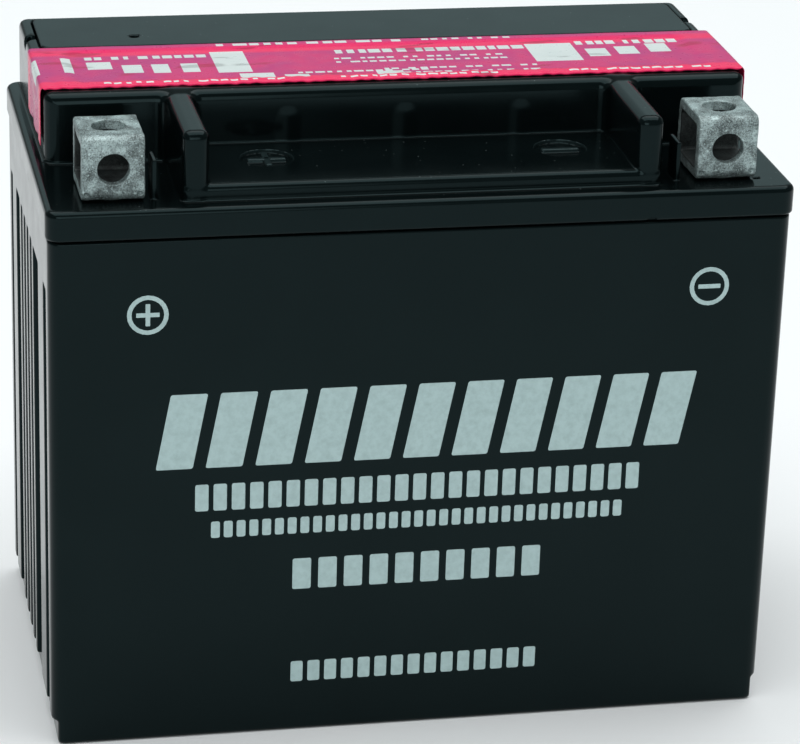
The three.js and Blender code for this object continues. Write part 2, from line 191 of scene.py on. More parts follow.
class Field:
    """Distances to a surface, negative inside it, on a grid that is closer where there are edges."""

    def __init__(self, xs, ys, zs):
        self.lines = (xs, ys, zs)
        self.values = np.full((len(xs), len(ys), len(zs)), FAR, np.float32)

    def near(self, shape, blend):
        """The part of the grid round a shape, and its coordinates."""
        part = []
        for lines, low, high in zip(self.lines, shape.low, shape.high):
            start, end = np.searchsorted(lines, (low - blend - MARGIN, high + blend + MARGIN))
            part.append(slice(max(start - 1, 0), end + 1))
        x, y, z = (lines[cut] for lines, cut in zip(self.lines, part))
        return tuple(part), (x[:, None, None], y[None, :, None], z[None, None, :])

    def join(self, shape, blend=0.0):
        part, point = self.near(shape, blend)
        self.values[part] = union(self.values[part], shape.distance(*point), blend)

    def cut(self, shape, edge=0.0):
        part, point = self.near(shape, edge)
        self.values[part] = overlap(self.values[part], -shape.distance(*point), edge)


def surface_points(field, cells):
    """For each cell that the surface crosses, the mean of the crossings on its twelve edges."""
    total = np.zeros((len(cells), 3))
    count = np.zeros(len(cells))
    for axis in range(3):
        b, c = [a for a in range(3) if a != axis]
        for step_b in (0, 1):
            for step_c in (0, 1):
                start = cells.copy()
                start[:, b] += step_b
                start[:, c] += step_c
                end = start.copy()
                end[:, axis] += 1
                first = field.values[tuple(start.T)]
                last = field.values[tuple(end.T)]
                crossed = (first < 0) != (last < 0)
                share = np.where(crossed, first / np.where(crossed, first - last, 1), 0)
                for a, lines in enumerate(field.lines):
                    place = lines[start[:, a]] + share * (lines[end[:, a]] - lines[start[:, a]])
                    total[:, a] += np.where(crossed, place, 0)
                count += crossed
    return total / count[:, None]


def surface_of(field):
    """Points and outward quads of the field's zero surface, by naive surface nets."""
    inside = field.values < 0
    shape = inside.shape
    filled = np.zeros([n - 1 for n in shape], np.uint8)
    for i in (0, 1):
        for j in (0, 1):
            for k in (0, 1):
                filled += inside[i:shape[0] - 1 + i, j:shape[1] - 1 + j, k:shape[2] - 1 + k]
    crossed = (filled > 0) & (filled < 8)
    cells = np.argwhere(crossed)
    number = np.full(crossed.shape, -1, np.int64)
    number[crossed] = np.arange(len(cells))
    quads = []
    for axis in range(3):
        b, c = [(1, 2), (2, 0), (0, 1)][axis]
        first, last = [slice(1, -1)] * 3, [slice(1, -1)] * 3
        first[axis], last[axis] = slice(0, -1), slice(1, None)
        starts_inside = inside[tuple(first)]
        edges = np.argwhere(starts_inside != inside[tuple(last)])
        outward = starts_inside[tuple(edges.T)]
        ring = []
        for step_b, step_c in ((0, 0), (1, 0), (1, 1), (0, 1)):
            cell = edges.copy()
            cell[:, b] += step_b
            cell[:, c] += step_c
            ring.append(number[tuple(cell.T)])
        quad = np.stack(ring, 1)
        quads.append(np.where(outward[:, None], quad, quad[:, ::-1]))
    return surface_points(field, cells), np.concatenate(quads)


# Making pieces ------------------------------------------------------------------------

FLAT_ANGLE = 0.004     # faces that meet at less than this are one flat face
SHARP_ANGLE = math.radians(50)


def add_mesh(name, points, faces, materials, body="root"):
    """A mesh object from points in millimetres, riding on a body."""
    mesh = bpy.data.meshes.new(name)
    mesh.from_pydata((np.asarray(points) * MM).tolist(), [], [list(map(int, face)) for face in faces])
    for material in materials:
        mesh.materials.append(material)
    mesh.update()
    piece = bpy.data.objects.new(name, mesh)
    bpy.context.scene.collection.objects.link(piece)
    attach(piece, body)
    return piece


def shade(piece, sharp_angle=SHARP_ANGLE):
    """Smooth shading that keeps flat faces flat and breaks at sharp edges."""
    bm = bmesh.new()
    bm.from_mesh(piece.data)
    for face in bm.faces:
        face.smooth = True
    for edge in bm.edges:
        edge.smooth = edge.calc_face_angle(0) < sharp_angle
    bm.to_mesh(piece.data)
    bm.free()
    weighted = piece.modifiers.new("weighted normals", "WEIGHTED_NORMAL")
    weighted.keep_sharp = True


def merge_flats(bm):
    """Joins coplanar faces, inside small tiles first and larger ones after, so that no step is slow."""
    for tile in (2.0, 6.0, 18.0, 54.0):
        for face in bm.faces:
            x, y, z = face.calc_center_median()
            face.material_index = int(x // tile + 7 * (y // tile) + 49 * (z // tile)) % 343
        bmesh.ops.dissolve_limit(
            bm, angle_limit=FLAT_ANGLE, verts=bm.verts, edges=bm.edges, delimit={"MATERIAL"})
    bmesh.ops.dissolve_limit(bm, angle_limit=FLAT_ANGLE, verts=bm.verts, edges=bm.edges)


def moulding(name, field, material, nodes):
    """The piece that a field's surface bounds, standing for one CAD node or more."""
    points, quads = surface_of(field)
    mesh = bpy.data.meshes.new("raw")
    mesh.from_pydata(points.tolist(), [], quads.tolist())
    bm = bmesh.new()
    bm.from_mesh(mesh)
    bpy.data.meshes.remove(mesh)
    merge_flats(bm)
    bm.verts.index_update()
    points = [vert.co[:] for vert in bm.verts]
    faces = [[vert.index for vert in face.verts] for face in bm.faces]
    bm.free()
    piece = add_mesh(name, points, faces, [material])
    shade(piece)
    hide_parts(*nodes)
    return piece


# Materials ----------------------------------------------------------------------------


class Nodes:
    """Shader nodes of one new material, wired up by name."""

    def __init__(self, name):
        self.material = bpy.data.materials.new(name)
        self.material.use_nodes = True
        self.tree = self.material.node_tree
        self.shader = self.tree.nodes["Principled BSDF"]

    def add(self, kind, **values):
        node = self.tree.nodes.new(kind)
        for key, value in values.items():
            if key in node.inputs:
                node.inputs[key].default_value = value
            else:
                setattr(node, key, value)
        return node

    def link(self, output, socket):
        self.tree.links.new(output, socket)

    def place(self):
        """The point on the object, in metres."""
        return self.add("ShaderNodeTexCoord").outputs["Object"]

    def stretched(self, scale):
        mapping = self.add("ShaderNodeMapping")
        mapping.inputs["Scale"].default_value = scale
        self.link(self.place(), mapping.inputs["Vector"])
        return mapping.outputs["Vector"]

    def noise(self, scale, detail=3.0, roughness=0.5, vector=None):
        node = self.add("ShaderNodeTexNoise", Scale=scale, Detail=detail, Roughness=roughness)
        self.link(vector or self.place(), node.inputs["Vector"])
        return node.outputs["Fac"]

    def ramp(self, value, stops):
        """A colour ramp: stops are (position, grey or colour)."""
        node = self.add("ShaderNodeValToRGB")
        elements = node.color_ramp.elements
        while len(elements) < len(stops):
            elements.new(0.5)
        for element, (position, colour) in zip(elements, stops):
            element.position = position
            grey = isinstance(colour, (int, float))
            element.color = (colour, colour, colour, 1) if grey else (*colour, 1)
        self.link(value, node.inputs["Fac"])
        return node.outputs["Color"]

    def math(self, operation, *values):
        node = self.add("ShaderNodeMath", operation=operation)
        for socket, value in zip(node.inputs, values):
            if isinstance(value, (int, float)):
                socket.default_value = value
            else:
                self.link(value, socket)
        return node.outputs["Value"]

    def mix(self, factor, first, second):
        """A colour between first and second; each is a colour or an output."""
        node = self.add("ShaderNodeMix", data_type="RGBA")
        for name, value in (("Factor", factor), ("A", first), ("B", second)):
            socket = next(s for s in node.inputs if s.name == name and s.enabled)
            if isinstance(value, (int, float)):
                socket.default_value = value
            elif isinstance(value, tuple):
                socket.default_value = (*value, 1)
            else:
                self.link(value, socket)
        return next(s for s in node.outputs if s.enabled)

    def bump(self, height, strength, distance_mm, below=None):
        node = self.add("ShaderNodeBump", Strength=strength, Distance=distance_mm * MM)
        self.link(height, node.inputs["Height"])
        if below is not None:
            self.link(below, node.inputs["Normal"])
        return node.outputs["Normal"]

    def finish(self, colour=None, roughness=None, normal=None, **fixed):
        for name, value in (("Base Color", colour), ("Roughness", roughness), ("Normal", normal)):
            if value is None:
                continue
            if isinstance(value, tuple):
                self.shader.inputs[name].default_value = (*value, 1)
            elif isinstance(value, (int, float)):
                self.shader.inputs[name].default_value = value
            else:
                self.link(value, self.shader.inputs[name])
        for name, value in fixed.items():
            self.shader.inputs[name.replace("_", " ")].default_value = value
        return self.material


def per_mm(count):
    """Texture scale that gives about that many features to the millimetre."""
    return count / MM


def dust_mask(nodes, amount):
    """Small pale specks on the surfaces that face up."""
    cells = nodes.add("ShaderNodeTexVoronoi", Scale=per_mm(0.9))
    nodes.link(nodes.place(), cells.inputs["Vector"])
    small = nodes.math("LESS_THAN", cells.outputs["Distance"], 0.11)
    channels = nodes.add("ShaderNodeSeparateColor")
    nodes.link(cells.outputs["Color"], channels.inputs["Color"])
    chosen = nodes.math("GREATER_THAN", channels.outputs["Red"], 1 - amount)
    geometry = nodes.add("ShaderNodeNewGeometry")
    split = nodes.add("ShaderNodeSeparateXYZ")
    nodes.link(geometry.outputs["Normal"], split.inputs["Vector"])
    upward = nodes.math("GREATER_THAN", split.outputs["Z"], 0.8)
    return nodes.math("MULTIPLY", nodes.math("MULTIPLY", small, chosen), upward)


def mark_highlight_mask(nodes):
    """Full on the bars and rims of the two sunk discs, where a paler colour paints the highlight that they
    catch.
    """
    split = nodes.add("ShaderNodeSeparateXYZ")
    nodes.link(nodes.place(), split.inputs["Vector"])
    zone = [("Z", TRAY_Z - 0.35, 0.3), ("Y", MARK_Y, 5.6), ("X", 0.0, 37)]
    high, near, inside = [nodes.math("COMPARE", split.outputs[axis], middle * MM, half * MM)
                          for axis, middle, half in zone]
    return nodes.math("MULTIPLY", nodes.math("MULTIPLY", high, near), inside)


def black_plastic(name, dust):
    """Glossy moulded plastic with a painted highlight on its convex edges; dust is the share of specks that
    show on it.
    """
    nodes = Nodes(name)
    cloud = nodes.noise(per_mm(0.05), detail=4)
    colour = nodes.ramp(cloud, [(0.3, (0.0012, 0.0025, 0.0027)), (0.7, (0.0020, 0.0038, 0.0041))])
    curvature = nodes.add("ShaderNodeNewGeometry").outputs["Pointiness"]
    # Painted highlight: convex edges are painted a paler teal, standing in for the light they catch.
    edge = nodes.ramp(curvature, [(0.54, 0.0), (0.62, 0.3)])
    colour = nodes.mix(edge, colour, (0.010, 0.016, 0.017))
    scratches = nodes.noise(1.0, detail=2, vector=nodes.stretched((2600, 90, 260)))
    scratched = nodes.ramp(scratches, [(0.74, 0.0), (0.80, 0.6)])
    roughness = nodes.ramp(nodes.noise(per_mm(0.12), detail=5), [(0.3, 0.14), (0.7, 0.19)])
    roughness = nodes.mix(scratched, roughness, (0.24, 0.24, 0.24))
    if dust > 0:
        specks = dust_mask(nodes, dust)
        colour = nodes.mix(specks, colour, (0.07, 0.09, 0.09))
        # Painted highlight: the raised bars and rims of the sunk discs are painted paler than the tray.
        colour = nodes.mix(mark_highlight_mask(nodes), colour, (0.010, 0.017, 0.018))
    peel = nodes.bump(nodes.noise(per_mm(0.5), detail=2), 0.05, 0.02)
    grain = nodes.bump(nodes.noise(per_mm(4.0), detail=2), 0.05, 0.01, peel)
    material = nodes.finish(colour, roughness, grain)
    nodes.shader.inputs["Specular IOR Level"].default_value = 0.16
    nodes.shader.inputs["Specular Tint"].default_value = (0.60, 0.96, 1.0, 1)
    return material


def terminal_lead(name, shade):
    """Oxidised lead, mottled grey with dark pits, paler on its convex edges and with painted shade in its
    crevices; shade scales its colours, and a dark copy paints the shade inside the terminal.
    """
    nodes = Nodes(name)

    def grey(value):
        return (0.80 * value * shade, value * shade, value * shade)

    patches = nodes.noise(per_mm(0.28), detail=6, roughness=0.65)
    speckle = nodes.noise(per_mm(3.4), detail=4, roughness=0.75)
    colour = nodes.ramp(patches, [(0.36, grey(0.10)), (0.50, grey(0.27)), (0.64, grey(0.50))])
    salt = nodes.ramp(speckle, [(0.54, 0.0), (0.64, 0.85)])
    colour = nodes.mix(salt, colour, grey(0.62))
    pits = nodes.ramp(speckle, [(0.36, 0.95), (0.47, 0.0)])
    colour = nodes.mix(pits, colour, grey(0.05))
    curvature = nodes.add("ShaderNodeNewGeometry").outputs["Pointiness"]
    bright = nodes.ramp(curvature, [(0.53, 0.0), (0.60, 0.7)])
    colour = nodes.mix(bright, colour, grey(0.72))
    # Painted shade: concave corners and crevices are painted near black, where shade falls.
    crevice_shade = nodes.ramp(curvature, [(0.40, 0.85), (0.48, 0.0)])
    colour = nodes.mix(crevice_shade, colour, grey(0.03))
    roughness = nodes.ramp(patches, [(0.3, 0.62), (0.7, 0.44)])
    drag = nodes.noise(1.0, detail=3, vector=nodes.stretched((300, 300, 4000)))
    coarse = nodes.bump(patches, 0.4, 0.25)
    fine = nodes.bump(speckle, 0.5, 0.07, coarse)
    normal = nodes.bump(drag, 0.15, 0.04, fine)
    return nodes.finish(colour, roughness, normal, Metallic=0.5)


def inner_material(name, low, high, scale, roughness, bump, metallic=0.0, stretch=(1, 1, 1)):
    """A mottled, slightly rough surface for the pieces inside the case."""
    nodes = Nodes(name)
    vector = nodes.stretched(stretch)
    mottle = nodes.noise(per_mm(scale), detail=5, vector=vector)
    colour = nodes.ramp(mottle, [(0.3, low), (0.7, high)])
    grey = nodes.ramp(mottle, [(0.3, roughness), (0.7, min(roughness + 0.15, 1))])
    normal = nodes.bump(nodes.noise(per_mm(scale * 6), detail=4, vector=vector), bump, 0.1)
    return nodes.finish(colour, grey, normal, Metallic=metallic)


def foil(name, plain, unsheened):
    """Foil with a painted sheen: its plain colour carries a purplish painted reflection, and two brighter
    bands along the strip, where it slopes and curls, are left without it; streaks of painted shade mark the
    folds.
    """
    nodes = Nodes(name)
    split = nodes.add("ShaderNodeSeparateXYZ")
    nodes.link(nodes.place(), split.inputs["Vector"])
    # Across the strip, from 0 at y -12 mm to 1 at y 18 mm.
    across = nodes.math("MULTIPLY_ADD", split.outputs["Y"], 1 / (30 * MM), 12 / 30)
    # Painted reflection: the plain colour stands for the foil with the backdrop's sheen on it; in these
    # bands, and in random patches, the sheen is left off.
    unsheened_band = nodes.ramp(across, [(0.06, 1.0), (0.15, 1.0), (0.19, 0.0), (0.72, 0.0),
                               (0.78, 1.0), (0.86, 0.8), (0.92, 0.0)])
    cloud = nodes.ramp(nodes.noise(per_mm(0.15), detail=3), [(0.35, 0.0), (0.65, 0.35)])
    colour = nodes.mix(nodes.math("MAXIMUM", unsheened_band, cloud), plain, unsheened)
    # Painted shade along streaks where the foil folds.
    fold_streaks = nodes.noise(1.0, detail=2, vector=nodes.stretched((70, 260, 70)))
    painted_fold_shade = nodes.ramp(fold_streaks, [(0.63, 0.0), (0.66, 0.6)])
    colour = nodes.mix(painted_fold_shade, colour, tuple(0.45 * value for value in unsheened))
    crinkle = nodes.noise(per_mm(0.5), detail=4, roughness=0.6)
    grain = nodes.noise(per_mm(4.0), detail=2)
    normal = nodes.bump(grain, 0.08, 0.02, nodes.bump(crinkle, 0.16, 0.12))
    roughness = nodes.ramp(crinkle, [(0.35, 0.26), (0.65, 0.36)])
    return nodes.finish(colour, roughness, normal, Specular_IOR_Level=0.25)


def print_ink():
    """Pale printing, slightly blotched."""
    nodes = Nodes("print_ink")
    blotch = nodes.noise(per_mm(0.6), detail=5, roughness=0.7)
    colour = nodes.ramp(blotch, [(0.30, (0.34, 0.46, 0.46)), (0.60, (0.42, 0.56, 0.56))])
    normal = nodes.bump(nodes.noise(per_mm(5.0), detail=2), 0.2, 0.02)
    return nodes.finish(colour, nodes.ramp(blotch, [(0.3, 0.62), (0.7, 0.5)]), normal)


LID_PLASTIC = black_plastic("lid_plastic", 0.12)
CASE_PLASTIC = black_plastic("case_plastic", 0.0)
COVER_PLASTIC = black_plastic("cover_plastic", 0.08)
LEAD = terminal_lead("terminal_lead", 1.0)
# A much darker copy of the lead: painted shade for the faces inside the terminal's window.
LEAD_PAINTED_SHADE = terminal_lead("terminal_lead_painted_shade", 0.10)
INK = print_ink()
# Each foil has a plain colour with a painted sheen, and a brighter colour without the sheen.
FOIL = foil("foil_pink", (0.44, 0.030, 0.17), (0.78, 0.018, 0.11))
FOIL_INK = foil("foil_white", (0.56, 0.62, 0.61), (0.66, 0.70, 0.69))

# Lid ----------------------------------------------------------------------------------


def deck():
    """The raised rear part of the lid, as a solid block."""
    def distance(x, y, z):
        body = overlap(np.abs(x) - DECK_HALF_X, z - DECK_Z, 2.0)
        body = overlap(body, DECK_FRONT - y, 2.8)
        body = overlap(body, y - DECK_REAR, 1.6)
        return np.maximum(body, SHOULDER_Z - 1 - z)
    return Shape((-DECK_HALF_X, DECK_FRONT, SHOULDER_Z - 1), (DECK_HALF_X, DECK_REAR, DECK_Z), distance)


def column(x_centre):
    """A domed column just behind the tray's rear wall, where its fillet makes a shallow swelling."""
    radius, sunk, dome_z = 6.0, 6.1, 122.9

    def distance(x, y, z):
        out = np.sqrt((x - x_centre) ** 2 + (y - DECK_FRONT - sunk) ** 2 + np.maximum(z - dome_z, 0) ** 2)
        return np.maximum(out - radius, TRAY_Z - 1 - z)
    low = (x_centre - radius, DECK_FRONT + sunk - radius, TRAY_Z - 1)
    return Shape(low, (x_centre + radius, DECK_FRONT + sunk + radius, dome_z + radius), distance)


def lid_outside(field):
    field.join(slab(LID_LOW, (LID_HIGH[0], LID_HIGH[1], SHOULDER_Z), 3.0, top=1.3, bottom=0.45))
    raised = Field(*field.lines)
    raised.join(deck())
    ribs = Field(*field.lines)
    for x in (-RIB_X, RIB_X):
        low = (x - RIB_WIDTH / 2, RIB_FRONT, SHOULDER_Z - 2)
        ribs.join(block(low, (x + RIB_WIDTH / 2, DECK_FRONT + 6, RIB_Z), 2.0))
    raised.values = union(raised.values, ribs.values, 1.7)
    raised.values = overlap(raised.values, field.lines[2][None, None, :] - DECK_Z, 1.0)
    tray_low = (-RIB_X - RIB_WIDTH / 2, RIB_FRONT, SHOULDER_Z - 2)
    tray = block(tray_low, (RIB_X + RIB_WIDTH / 2, DECK_FRONT + 6, TRAY_Z), 1.4)
    raised.join(tray, 0.35)
    for x in SWELLING_XS:
        raised.join(column(x), 0.6)
    field.values = union(field.values, raised.values, 0.55)
    for x in RETAINER_XS:
        low = (x - 0.5, RETAINER_YS[0], SHOULDER_Z - 1)
        field.join(block(low, (x + 0.5, RETAINER_YS[1], RETAINER_TOP), 0.25), 0.3)


def lid_top_details(field):
    trough_low = (-TROUGH_HALF_X, TROUGH_YS[0], DECK_Z - TROUGH_DEPTH)
    field.cut(block(trough_low, (TROUGH_HALF_X, TROUGH_YS[1], DECK_Z + 3), 0.5), 0.4)
    for x in CELL_XS:
        well_low = (x - FILLER_WELL / 2, FILLER_Y - FILLER_WELL / 2, 108.0)
        field.cut(slab(well_low, (x + FILLER_WELL / 2, FILLER_Y + FILLER_WELL / 2, DECK_Z + 1), 2.0), 0.4)
    seat_low = (COVER_LOW[0] - 0.3, COVER_LOW[1] - 0.3, DECK_Z - 2.3)
    field.cut(slab(seat_low, (COVER_HIGH[0] + 0.3, COVER_HIGH[1] + 0.3, DECK_Z + 3), 2.8), 0.25)
    chamber_low = (-CHAMBER_HALF_X, CHAMBER_YS[0], CHAMBER_FLOOR)
    field.cut(block(chamber_low, (CHAMBER_HALF_X, CHAMBER_YS[1], DECK_Z), 0.3))
    for x in CELL_XS:
        field.join(rod(2, 4.0, (x, VALVE_Y), CHAMBER_FLOOR - 1, CHAMBER_FLOOR + 4, 0.3), 0.3)
        field.cut(rod(2, 2.0, (x, VALVE_Y), 108, CHAMBER_FLOOR + 8), 0.2)
    for side in (-1, 1):
        inner, outer = sorted((side * 69.9, side * 74.0))
        field.cut(block((inner, 25.7, 126.6), (outer, 29.3, DECK_Z + 4), 1.0), 0.2)
        inner, outer = sorted((side * 64.6, side * 68.5))
        field.cut(rod(0, 2.5, (27.5, 124.9), inner, outer))


def lid_marks(field):
    """The sunk discs with a raised plus and minus, and two small nicks left by the mould."""
    half_length, half_width = MARK_BAR

    def raise_bar(x, half_x, half_y):
        low = (x - half_x, MARK_Y - half_y, TRAY_Z - 1.5)
        field.join(block(low, (x + half_x, MARK_Y + half_y, TRAY_Z - 0.1), 0.25), 0.2)

    for x in MARK_XS:
        field.cut(rod(2, MARK_RADIUS, (x, MARK_Y), TRAY_Z - MARK_DEPTH, TRAY_Z + 2), 0.15)
        raise_bar(x, half_length, half_width)
    raise_bar(MARK_XS[0], half_width, half_length)
    field.cut(block((44.4, LID_LOW[1] - 1, 108.0), (46.2, LID_LOW[1] + 0.7, 109.3), 0.1))
    field.cut(block((67.5, -37.9, SHOULDER_Z - 1.0), (68.6, -36.7, SHOULDER_Z + 1), 0.1))


def lid_underside(field):
    below = LID_LOW[2] - 2
    hollows = [
        ((-INNER_HALF_X, -INNER_HALF_Y, below), (INNER_HALF_X, INNER_HALF_Y, SHOULDER_Z - 2.5)),
        ((-40.2, -36.9, below), (40.2, DECK_FRONT + 4, TRAY_Z - 2.5)),
        ((-69.6, DECK_FRONT + 2.6, below), (69.6, 39.4, SHOULDER_Z + 0.3)),
        ((-69.6, DECK_FRONT + 2.6, below), (69.6, 15.0, DECK_Z - TROUGH_DEPTH - 2.4)),
        ((-69.6, 19.6, below), (69.6, 39.4, CHAMBER_FLOOR - 2)),
    ]
    for low, high in hollows:
        field.cut(block(low, high, 0.6), 0.3)
    for x in (-RIB_X, RIB_X):
        field.cut(block((x - 0.8, -36.9, below), (x + 0.8, DECK_FRONT + 1, RIB_Z - 2.5), 0.3))
    web_zones = [(-41.5, -36, SHOULDER_Z - 2), (-37.5, DECK_FRONT + 3, TRAY_Z - 2),
                 (DECK_FRONT + 2, 18.2, DECK_Z - TROUGH_DEPTH - 2), (17, 41.5, CHAMBER_FLOOR - 1.5)]
    for x in PARTITION_XS:
        for start, end, top in web_zones:
            top = min(top, SHOULDER_Z - 2) if abs(x) > 40.5 and end < 0 else top
            field.join(block((x - PARTITION / 2, start, LID_LOW[2]), (x + PARTITION / 2, end, top)))
    for side in (-1, 1):
        field.cut(rod(2, 5.3, (side * TERMINAL_X, TERMINAL_Y), 107.0, SHOULDER_Z + 2), 0.2)


def make_lid():
    xs = grid_lines(-76.0, 76.0, 0.5, mirrored([(69.5, 76.0, 0.25), (42.0, 49.0, 0.25), (23.5, 36.5, 0.25)]))
    ys = grid_lines(-44.5, 44.5, 0.5, [(-44.5, -35.5, 0.25), (-28.5, -18.0, 0.25), (-17.0, -7.5, 0.25),
                                       (39.5, 44.5, 0.25)])
    zs = grid_lines(107.6, 130.6, 0.4, [(107.6, 110.0, 0.25), (113.5, 119.0, 0.2), (125.6, 130.6, 0.25)])
    field = Field(xs, ys, zs)
    lid_outside(field)
    lid_underside(field)
    lid_top_details(field)
    lid_marks(field)
    partitions = [f"lid_partition_{i + 1}" for i in range(CELLS - 1)]
    moulding("lid_shell", field, LID_PLASTIC, LID_NODES + partitions)


# Case ---------------------------------------------------------------------------------

GROOVE_DEPTH = 1.2
GROOVE_BOTTOM = 5.0
GROOVE_TOP = 96.5
CORNER_COLUMN = 6.0
RAIL_YS = (-20, 20)        # low rails on the floor, under the plates
WELD_Y = 27.0              # holes for the welds through the partitions, front and rear by turns
WELD_Z = 102.2
# Middle and width along Y of the ribs on an end wall.
RIBS = [(-26.5, 10.5), (29.5, 8.5)] + [(-9.5 + 6.5 * i, 3.3) for i in range(5)]


def groove_spans():
    """The stretches along Y that are sunk between the ribs of an end wall."""
    spans, start = [], CASE_LOW[1] + CORNER_COLUMN
    for middle, width in sorted(RIBS):
        spans.append((start, middle - width / 2))
        start = middle + width / 2
    spans.append((start, CASE_HIGH[1] - CORNER_COLUMN))
    return spans


def make_case():
    xs = grid_lines(-75.6, 75.6, 0.8, mirrored([(69.8, 75.6, 0.3)]))
    ys = grid_lines(-44.1, 44.1, 0.35)
    zs = grid_lines(-1.0, 109.5, 5.0, [(-1.0, 8.0, 0.3), (94.5, 109.5, 0.35), (8.0, 12.0, 1.0)])
    field = Field(xs, ys, zs)
    field.join(slab(CASE_LOW, CASE_HIGH, 3.0, top=0.4, bottom=0.9))
    for side in (-1, 1):
        inner, outer = sorted((side * (CASE_HIGH[0] - GROOVE_DEPTH), side * (CASE_HIGH[0] + 4)))
        for start, end in groove_spans():
            field.cut(block((inner, start, GROOVE_BOTTOM - 1), (outer, end, GROOVE_TOP), 0.35), 0.45)
        field.cut(block((inner, CASE_LOW[1] - 3, -4), (outer, CASE_HIGH[1] + 3, GROOVE_BOTTOM), 0.3), 0.5)
    for x in CELL_XS:
        half = (CELL_PITCH - PARTITION) / 2
        low = (x - half, -INNER_HALF_Y, FLOOR_THICKNESS)
        field.cut(block(low, (x + half, INNER_HALF_Y, CASE_HIGH[2] + 5), 0.8), 0.2)
    for y in RAIL_YS:
        low = (-INNER_HALF_X - 1, y - 1, FLOOR_THICKNESS - 1)
        field.join(block(low, (INNER_HALF_X + 1, y + 1, 5.5), 0.3))
    for i, x in enumerate(PARTITION_XS):
        weld_y = WELD_Y if i % 2 == 0 else -WELD_Y
        field.cut(rod(0, 4.5, (weld_y, WELD_Z), x - 2, x + 2))
    moulding("case_shell", field, CASE_PLASTIC, ["case"])


# Terminals ----------------------------------------------------------------------------

TERMINAL_WALL = 2.3
FRONT_HOLE = 3.15          # radii
TOP_HOLE = 3.4


def ripple(x, y, z, size, seed):
    """A smooth random height from about -1 to 1, with features about that size across."""
    rng = np.random.default_rng(seed)
    total = 0
    for _ in range(7):
        direction = rng.normal(size=3)
        direction *= 2 * math.pi / (size * rng.uniform(0.7, 1.6) * np.linalg.norm(direction))
        total = total + np.sin(x * direction[0] + y * direction[1] + z * direction[2] + rng.uniform(0, 6.28))
    return total / 3.5


def ragged_rod(axis, radius, centre, start, end, ragged, seed):
    """A drilled or punched hole with a torn edge."""
    smooth = rod(axis, radius, centre, start, end)
    across = [a for a in range(3) if a != axis]
    rng = np.random.default_rng(seed)
    waves = [(n, rng.uniform(0, 6.28), rng.uniform(0.4, 1.0) / n ** 0.5) for n in (2, 3, 5, 7, 11, 16)]

    def distance(*point):
        angle = np.arctan2(point[across[1]] - centre[1], point[across[0]] - centre[0])
        wave = sum(size * np.sin(n * angle + turn) for n, turn, size in waves)
        return smooth.distance(*point) + ragged * wave
    return Shape(smooth.low, smooth.high, distance)


def make_terminal(node, seed):
    low, high = box_mm(node)
    bottom, wall = SHOULDER_Z + 0.3, TERMINAL_WALL
    x, y = (low[0] + high[0]) / 2, (low[1] + high[1]) / 2
    step = 0.2
    xs = grid_lines(low[0] - 0.8, high[0] + 0.8, step)
    ys = grid_lines(low[1] - 0.8, high[1] + 0.8, step)
    zs = grid_lines(low[2] - 0.8, high[2] + 0.8, step)
    field = Field(xs, ys, zs)

    def strap(x, y, z):
        """Square tube, open at both X ends, bent from strip: round bends and flat sides."""
        profile = block((-1e3, low[1], bottom), (1e3, high[1], high[2]), 1.8).distance(0 * x, y, z)
        return overlap(profile, np.abs(x - (low[0] + high[0]) / 2) - (high[0] - low[0]) / 2, 0.35)

    field.join(Shape((low[0], low[1], bottom), tuple(high), strap))
    window_low = (low[0] - 5, low[1] + wall, bottom + wall)
    field.cut(block(window_low, (high[0] + 5, high[1] - wall, high[2] - wall), 0.8), 0.25)
    field.join(rod(2, 5.0, (x, y), low[2], bottom + 1, 0.3))
    field.cut(rod(2, 3.8, (x, y), low[2] - 3, SHOULDER_Z - 1))
    bolt_z = (bottom + high[2]) / 2
    field.cut(ragged_rod(1, FRONT_HOLE, (x, bolt_z), low[1] - 2, low[1] + wall + 1, 0.035, seed), 0.15)
    field.cut(ragged_rod(2, TOP_HOLE, (x, y), high[2] - wall - 1, high[2] + 2, 0.16, seed + 1), 0.12)
    field.cut(rod(0, 0.45, (low[1] - 0.22, high[2] - 2.0), low[0] - 1, high[0] + 1), 0.1)
    for side in (-1, 1):
        nick = (x + side * 5.2, low[1], bottom + 1.6)
        field.cut(block([c - 0.45 for c in nick], [c + 0.45 for c in nick], 0.3), 0.1)
    px, py, pz = xs[:, None, None], ys[None, :, None], zs[None, None, :]
    field.values += 0.05 * ripple(px, py, pz, 4.5, seed + 2) + 0.02 * ripple(px, py, pz, 1.3, seed + 3)
    name = node.replace("_terminal", "_terminal_strap")
    piece = moulding(name, field, LEAD, [node])
    piece.data.materials.append(LEAD_PAINTED_SHADE)
    # Painted shade: faces inside the window take the darker copy of the lead.
    window = ((low[1] + wall - 0.35, high[1] - wall + 0.35), (bottom + wall - 0.35, high[2] - wall + 0.35))
    for polygon in piece.data.polygons:
        _, py, pz = polygon.center / MM
        in_painted_shade = window[0][0] < py < window[0][1] and window[1][0] < pz < window[1][1]
        polygon.material_index = int(in_painted_shade)


# Vent cover ---------------------------------------------------------------------------

DIMPLE = (-49.5, 25)
DIMPLE_RADIUS = 0.95


